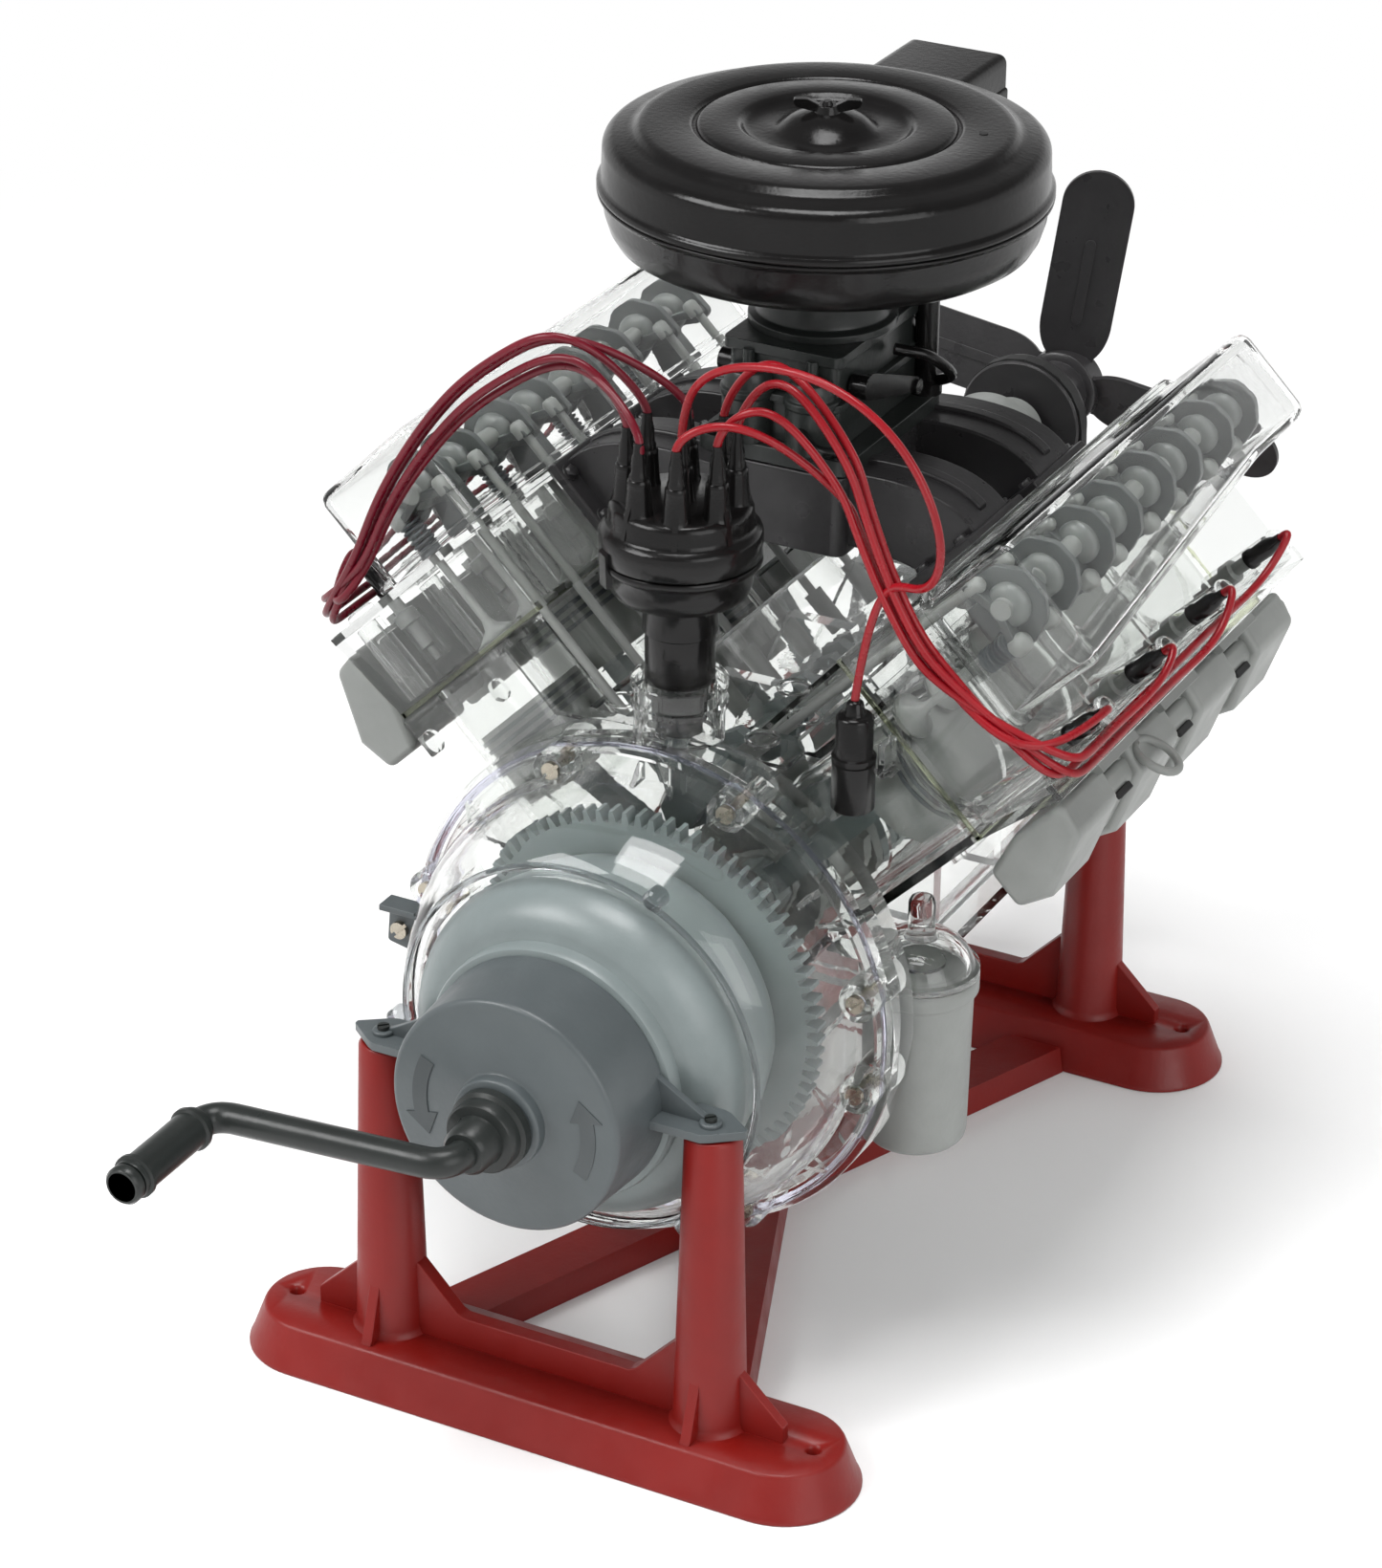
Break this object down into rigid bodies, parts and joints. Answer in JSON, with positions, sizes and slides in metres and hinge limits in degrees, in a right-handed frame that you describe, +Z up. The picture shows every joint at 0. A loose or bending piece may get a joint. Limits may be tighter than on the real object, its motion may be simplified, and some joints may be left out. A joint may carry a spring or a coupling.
{
  "type": "four stroke engine model",
  "caption": "Cutaway V-type four stroke engine teaching model with clear housings, worked by a hand crank, on a post stand.",
  "frame": {"origin": "middle of the underside of the foot at the hand crank", "axes": "+Z up, +Y along the crankshaft from the hand crank to the fan, +X towards the oil filter's side"},
  "size_m": [0.1718, 0.3167, 0.245],
  "materials": {
    "red": "satin moulded styrene",
    "clear": "clear moulded styrene",
    "dark_grey": "satin moulded styrene",
    "mid_grey": "gloss moulded styrene",
    "light_grey": "satin moulded styrene",
    "black": "gloss moulded styrene",
    "rubber": "matt",
    "lead_red": "gloss sleeve"
  },
  "bodies": {
    "stand_and_engine": {"foot_crank_end": "red", "foot_fan_end": "red", "cross_beam_a": "red", "cross_beam_b": "red", "drum_housing": "dark_grey", "gear_bell": "mid_grey", "bell_housing": "clear", "engine_block": "clear", "oil_pan": "clear", "cylinder_head_right": "clear", "cylinder_head_left": "clear", "valve_cover_right": "clear", "valve_cover_left": "clear", "rocker_gear_right": "mid_grey", "rocker_gear_left": "mid_grey", "exhaust_manifold_right": "light_grey", "exhaust_manifold_left": "light_grey", "intake_manifold": "black", "carburettor": "dark_grey", "air_cleaner_base": "black", "air_cleaner_lid": "black", "distributor_body": "black", "distributor_cap": "black", "ignition_coil": "black", "plug_leads_right": "lead_red", "plug_leads_left": "lead_red", "oil_filter_canister": "light_grey", "oil_filter_dome": "clear", "timing_chain": "mid_grey", "timing_cover": "clear", "water_pump": "light_grey", "fan_belt": "rubber"},
    "crank": {"hand_crank": "dark_grey", "flywheel_ring_gear": "mid_grey", "crank_pulley": "black", "crankshaft_section_1": "light_grey", "crankshaft_section_2": "light_grey", "crankshaft_section_3": "light_grey", "crankshaft_section_4": "light_grey", "crankshaft_section_5": "light_grey"},
    "grip": {"crank_grip": "dark_grey"},
    "camshaft": {"camshaft": "mid_grey"},
    "rotor": {"distributor_rotor": "mid_grey"},
    "fan": {"cooling_fan": "black"},
    "piston_right_1": {"piston_right_1": "light_grey"},
    "rod_right_1": {"connecting_rod_right_1": "mid_grey"},
    "piston_right_2": {"piston_right_2": "light_grey"},
    "rod_right_2": {"connecting_rod_right_2": "mid_grey"},
    "piston_right_3": {"piston_right_3": "light_grey"},
    "rod_right_3": {"connecting_rod_right_3": "mid_grey"},
    "piston_right_4": {"piston_right_4": "light_grey"},
    "rod_right_4": {"connecting_rod_right_4": "mid_grey"},
    "piston_left_1": {"piston_left_1": "light_grey"},
    "rod_left_1": {"connecting_rod_left_1": "mid_grey"},
    "piston_left_2": {"piston_left_2": "light_grey"},
    "rod_left_2": {"connecting_rod_left_2": "mid_grey"},
    "piston_left_3": {"piston_left_3": "light_grey"},
    "rod_left_3": {"connecting_rod_left_3": "mid_grey"},
    "piston_left_4": {"piston_left_4": "light_grey"},
    "rod_left_4": {"connecting_rod_left_4": "mid_grey"}
  },
  "joints": [
    {"name": "crank_spin", "type": "hinge", "parent": "stand_and_engine", "child": "crank", "pos_m": [0, -0.0385, 0.0782], "axis": [0, 1, 0], "continuous": true},
    {"name": "grip_spin", "type": "hinge", "parent": "crank", "child": "grip", "pos_m": [-0.054, -0.05, 0.0746], "axis": [0, 1, 0], "continuous": true},
    {"name": "camshaft_spin", "type": "hinge", "parent": "stand_and_engine", "child": "camshaft", "pos_m": [0, 0.055, 0.1122], "axis": [0, 1, 0], "continuous": true},
    {"name": "rotor_spin", "type": "hinge", "parent": "stand_and_engine", "child": "rotor", "pos_m": [0, 0.0545, 0.1703], "axis": [0, 0, 1], "continuous": true},
    {"name": "fan_spin", "type": "hinge", "parent": "stand_and_engine", "child": "fan", "pos_m": [0, 0.2218, 0.1362], "axis": [0, 1, 0], "continuous": true},
    {"name": "piston_slide_right_1", "type": "slide", "parent": "stand_and_engine", "child": "piston_right_1", "axis": [0.7071, 0, 0.7071], "range_m": [-0.022, 0]},
    {"name": "rod_swing_right_1", "type": "hinge", "parent": "piston_right_1", "child": "rod_right_1", "pos_m": [0.04412, 0.07575, 0.12232], "axis": [0, 1, 0], "range_deg": [-12.36, 12.36]},
    {"name": "piston_slide_right_2", "type": "slide", "parent": "stand_and_engine", "child": "piston_right_2", "axis": [0.7071, 0, 0.7071], "range_m": [-0.00981, 0.01219]},
    {"name": "rod_swing_right_2", "type": "hinge", "parent": "piston_right_2", "child": "rod_right_2", "pos_m": [0.0355, 0.10725, 0.1137], "axis": [0, 1, 0], "range_deg": [-24.71, 0]},
    {"name": "piston_slide_right_3", "type": "slide", "parent": "stand_and_engine", "child": "piston_right_3", "axis": [0.7071, 0, 0.7071], "range_m": [-0.00981, 0.01219]},
    {"name": "rod_swing_right_3", "type": "hinge", "parent": "piston_right_3", "child": "rod_right_3", "pos_m": [0.0355, 0.13875, 0.1137], "axis": [0, 1, 0], "range_deg": [0, 24.71]},
    {"name": "piston_slide_right_4", "type": "slide", "parent": "stand_and_engine", "child": "piston_right_4", "axis": [0.7071, 0, 0.7071], "range_m": [0, 0.022]},
    {"name": "rod_swing_right_4", "type": "hinge", "parent": "piston_right_4", "child": "rod_right_4", "pos_m": [0.02857, 0.17025, 0.10677], "axis": [0, 1, 0], "range_deg": [-12.36, 12.36]},
    {"name": "piston_slide_left_1", "type": "slide", "parent": "stand_and_engine", "child": "piston_left_1", "axis": [-0.7071, 0, 0.7071], "range_m": [-0.00981, 0.01219]},
    {"name": "rod_swing_left_1", "type": "hinge", "parent": "piston_left_1", "child": "rod_left_1", "pos_m": [-0.0355, 0.06775, 0.1137], "axis": [0, 1, 0], "range_deg": [0, 24.71]},
    {"name": "piston_slide_left_2", "type": "slide", "parent": "stand_and_engine", "child": "piston_left_2", "axis": [-0.7071, 0, 0.7071], "range_m": [-0.022, 0]},
    {"name": "rod_swing_left_2", "type": "hinge", "parent": "piston_left_2", "child": "rod_left_2", "pos_m": [-0.04412, 0.09925, 0.12232], "axis": [0, 1, 0], "range_deg": [-12.36, 12.36]},
    {"name": "piston_slide_left_3", "type": "slide", "parent": "stand_and_engine", "child": "piston_left_3", "axis": [-0.7071, 0, 0.7071], "range_m": [0, 0.022]},
    {"name": "rod_swing_left_3", "type": "hinge", "parent": "piston_left_3", "child": "rod_left_3", "pos_m": [-0.02857, 0.13075, 0.10677], "axis": [0, 1, 0], "range_deg": [-12.36, 12.36]},
    {"name": "piston_slide_left_4", "type": "slide", "parent": "stand_and_engine", "child": "piston_left_4", "axis": [-0.7071, 0, 0.7071], "range_m": [-0.00981, 0.01219]},
    {"name": "rod_swing_left_4", "type": "hinge", "parent": "piston_left_4", "child": "rod_left_4", "pos_m": [-0.0355, 0.16225, 0.1137], "axis": [0, 1, 0], "range_deg": [-24.71, 0]}
  ],
  "couplings": [
    {"joint": "camshaft_spin", "follows": "crank_spin", "ratio": 0.5},
    {"joint": "rotor_spin", "follows": "crank_spin", "ratio": 0.5},
    {"joint": "fan_spin", "follows": "crank_spin", "ratio": 1.1261}
  ]
}
